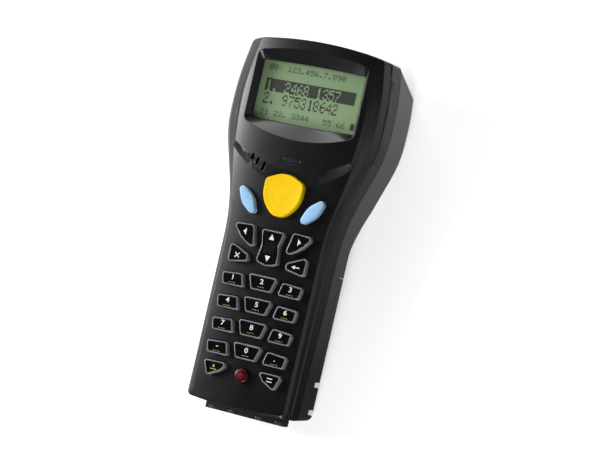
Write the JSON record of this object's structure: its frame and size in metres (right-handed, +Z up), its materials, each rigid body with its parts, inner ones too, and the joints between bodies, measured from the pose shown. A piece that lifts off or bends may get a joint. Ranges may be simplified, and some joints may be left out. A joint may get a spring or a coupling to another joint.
{
  "type": "portable barcode data terminal",
  "caption": "Handheld data terminal with a wide display head, a keypad grip, a scan window in its end and a battery cover on its back.",
  "frame": {"origin": "bottom centre of the bounding box, the terminal lying on its back", "axes": "+Z up, +Y from the grip's end to the scanning end, +X across to the right of a person reading the display"},
  "size_m": [0.0778, 0.1686, 0.0366],
  "materials": {
    "case_plastic": "satin moulded",
    "black_key": "gloss",
    "yellow_key": "satin",
    "blue_key": "satin",
    "red_key": "gloss",
    "display_pane": "clear",
    "scan_window": "clear dark red",
    "status_lens": "smoked",
    "display": "grey green",
    "soft_rubber": "matt",
    "steel": "plain",
    "gold_contact": "polished",
    "circuit_board": "satin",
    "battery_wrap": "satin",
    "module_plastic": "satin"
  },
  "bodies": {
    "case": {"backup_cell": "steel", "battery_contacts": "gold_contact", "battery_pack": "battery_wrap", "board_screws": "steel", "buzzer": "module_plastic", "case_gasket": "soft_rubber", "case_screws": "steel", "charge_contacts": "gold_contact", "connector_plate": "case_plastic", "display_backlight": "display", "display_gasket": "soft_rubber", "display_pane": "display_pane", "display_panel": "display", "front_shell": "case_plastic", "keypad_mat": "soft_rubber", "main_board": "circuit_board", "rear_shell": "case_plastic", "scan_bracket": "case_plastic", "scan_engine": "module_plastic", "scan_window": "scan_window", "snap_domes": "steel", "status_lens": "status_lens", "status_light": "module_plastic"},
    "scan_key_body": {"scan_key": "yellow_key"},
    "side_key_left_body": {"side_key_left": "blue_key"},
    "side_key_right_body": {"side_key_right": "blue_key"},
    "arrow_key_left_body": {"arrow_key_left": "black_key"},
    "arrow_key_right_body": {"arrow_key_right": "black_key"},
    "corner_key_left_body": {"corner_key_left": "black_key"},
    "corner_key_right_body": {"corner_key_right": "black_key"},
    "number_key_1_body": {"number_key_1": "black_key"},
    "number_key_2_body": {"number_key_2": "black_key"},
    "number_key_3_body": {"number_key_3": "black_key"},
    "number_key_4_body": {"number_key_4": "black_key"},
    "number_key_5_body": {"number_key_5": "black_key"},
    "number_key_6_body": {"number_key_6": "black_key"},
    "number_key_7_body": {"number_key_7": "black_key"},
    "number_key_8_body": {"number_key_8": "black_key"},
    "number_key_9_body": {"number_key_9": "black_key"},
    "minus_key_body": {"minus_key": "black_key"},
    "number_key_0_body": {"number_key_0": "black_key"},
    "dot_key_body": {"dot_key": "black_key"},
    "lower_key_left_body": {"lower_key_left": "black_key"},
    "lower_key_right_body": {"lower_key_right": "black_key"},
    "power_key_body": {"power_key": "red_key"},
    "rocker_key_body": {"rocker_key": "black_key"},
    "cover": {"battery_cover": "case_plastic"},
    "latch": {"battery_latch": "case_plastic"}
  },
  "joints": [
    {"name": "scan_key_press", "type": "slide", "parent": "case", "child": "scan_key_body", "axis": [0, 0.0654, -0.9979], "range_m": [0, 0.0008], "stiffness_N_per_m": 900, "springref_m": -0.0004},
    {"name": "side_key_left_press", "type": "slide", "parent": "case", "child": "side_key_left_body", "axis": [0, 0.0654, -0.9979], "range_m": [0, 0.0008], "stiffness_N_per_m": 900, "springref_m": -0.0004},
    {"name": "side_key_right_press", "type": "slide", "parent": "case", "child": "side_key_right_body", "axis": [0, 0.0654, -0.9979], "range_m": [0, 0.0008], "stiffness_N_per_m": 900, "springref_m": -0.0004},
    {"name": "arrow_key_left_press", "type": "slide", "parent": "case", "child": "arrow_key_left_body", "axis": [0, 0.0654, -0.9979], "range_m": [0, 0.0008], "stiffness_N_per_m": 900, "springref_m": -0.0004},
    {"name": "arrow_key_right_press", "type": "slide", "parent": "case", "child": "arrow_key_right_body", "axis": [0, 0.0654, -0.9979], "range_m": [0, 0.0008], "stiffness_N_per_m": 900, "springref_m": -0.0004},
    {"name": "corner_key_left_press", "type": "slide", "parent": "case", "child": "corner_key_left_body", "axis": [0, 0.0654, -0.9979], "range_m": [0, 0.0008], "stiffness_N_per_m": 900, "springref_m": -0.0004},
    {"name": "corner_key_right_press", "type": "slide", "parent": "case", "child": "corner_key_right_body", "axis": [0, 0.0654, -0.9979], "range_m": [0, 0.0008], "stiffness_N_per_m": 900, "springref_m": -0.0004},
    {"name": "number_key_1_press", "type": "slide", "parent": "case", "child": "number_key_1_body", "axis": [0, 0.0654, -0.9979], "range_m": [0, 0.0008], "stiffness_N_per_m": 900, "springref_m": -0.0004},
    {"name": "number_key_2_press", "type": "slide", "parent": "case", "child": "number_key_2_body", "axis": [0, 0.0654, -0.9979], "range_m": [0, 0.0008], "stiffness_N_per_m": 900, "springref_m": -0.0004},
    {"name": "number_key_3_press", "type": "slide", "parent": "case", "child": "number_key_3_body", "axis": [0, 0.0654, -0.9979], "range_m": [0, 0.0008], "stiffness_N_per_m": 900, "springref_m": -0.0004},
    {"name": "number_key_4_press", "type": "slide", "parent": "case", "child": "number_key_4_body", "axis": [0, 0.0654, -0.9979], "range_m": [0, 0.0008], "stiffness_N_per_m": 900, "springref_m": -0.0004},
    {"name": "number_key_5_press", "type": "slide", "parent": "case", "child": "number_key_5_body", "axis": [0, 0.0654, -0.9979], "range_m": [0, 0.0008], "stiffness_N_per_m": 900, "springref_m": -0.0004},
    {"name": "number_key_6_press", "type": "slide", "parent": "case", "child": "number_key_6_body", "axis": [0, 0.0654, -0.9979], "range_m": [0, 0.0008], "stiffness_N_per_m": 900, "springref_m": -0.0004},
    {"name": "number_key_7_press", "type": "slide", "parent": "case", "child": "number_key_7_body", "axis": [0, 0.0654, -0.9979], "range_m": [0, 0.0008], "stiffness_N_per_m": 900, "springref_m": -0.0004},
    {"name": "number_key_8_press", "type": "slide", "parent": "case", "child": "number_key_8_body", "axis": [0, 0.0654, -0.9979], "range_m": [0, 0.0008], "stiffness_N_per_m": 900, "springref_m": -0.0004},
    {"name": "number_key_9_press", "type": "slide", "parent": "case", "child": "number_key_9_body", "axis": [0, 0.0654, -0.9979], "range_m": [0, 0.0008], "stiffness_N_per_m": 900, "springref_m": -0.0004},
    {"name": "minus_key_press", "type": "slide", "parent": "case", "child": "minus_key_body", "axis": [0, 0.0654, -0.9979], "range_m": [0, 0.0008], "stiffness_N_per_m": 900, "springref_m": -0.0004},
    {"name": "number_key_0_press", "type": "slide", "parent": "case", "child": "number_key_0_body", "axis": [0, 0.0654, -0.9979], "range_m": [0, 0.0008], "stiffness_N_per_m": 900, "springref_m": -0.0004},
    {"name": "dot_key_press", "type": "slide", "parent": "case", "child": "dot_key_body", "axis": [0, 0.0654, -0.9979], "range_m": [0, 0.0008], "stiffness_N_per_m": 900, "springref_m": -0.0004},
    {"name": "lower_key_left_press", "type": "slide", "parent": "case", "child": "lower_key_left_body", "axis": [0, 0.0654, -0.9979], "range_m": [0, 0.0008], "stiffness_N_per_m": 900, "springref_m": -0.0004},
    {"name": "lower_key_right_press", "type": "slide", "parent": "case", "child": "lower_key_right_body", "axis": [0, 0.0654, -0.9979], "range_m": [0, 0.0008], "stiffness_N_per_m": 900, "springref_m": -0.0004},
    {"name": "power_key_press", "type": "slide", "parent": "case", "child": "power_key_body", "axis": [0, 0.0654, -0.9979], "range_m": [0, 0.0008], "stiffness_N_per_m": 900, "springref_m": -0.0004},
    {"name": "rocker_key_rock", "type": "hinge", "parent": "case", "child": "rocker_key_body", "pos_m": [0, -0.00948, 0.02701], "axis": [1, 0, 0], "range_deg": [-3.5, 3.5], "stiffness_Nm_per_rad": 0.05},
    {"name": "battery_cover_hinge", "type": "hinge", "parent": "case", "child": "cover", "pos_m": [0, -0.01425, 0.005], "axis": [1, 0, 0], "range_deg": [0, 35]},
    {"name": "battery_latch_slide", "type": "slide", "parent": "case", "child": "latch", "axis": [0, -0.9979, -0.0654], "range_m": [0, 0.0022]}
  ]
}
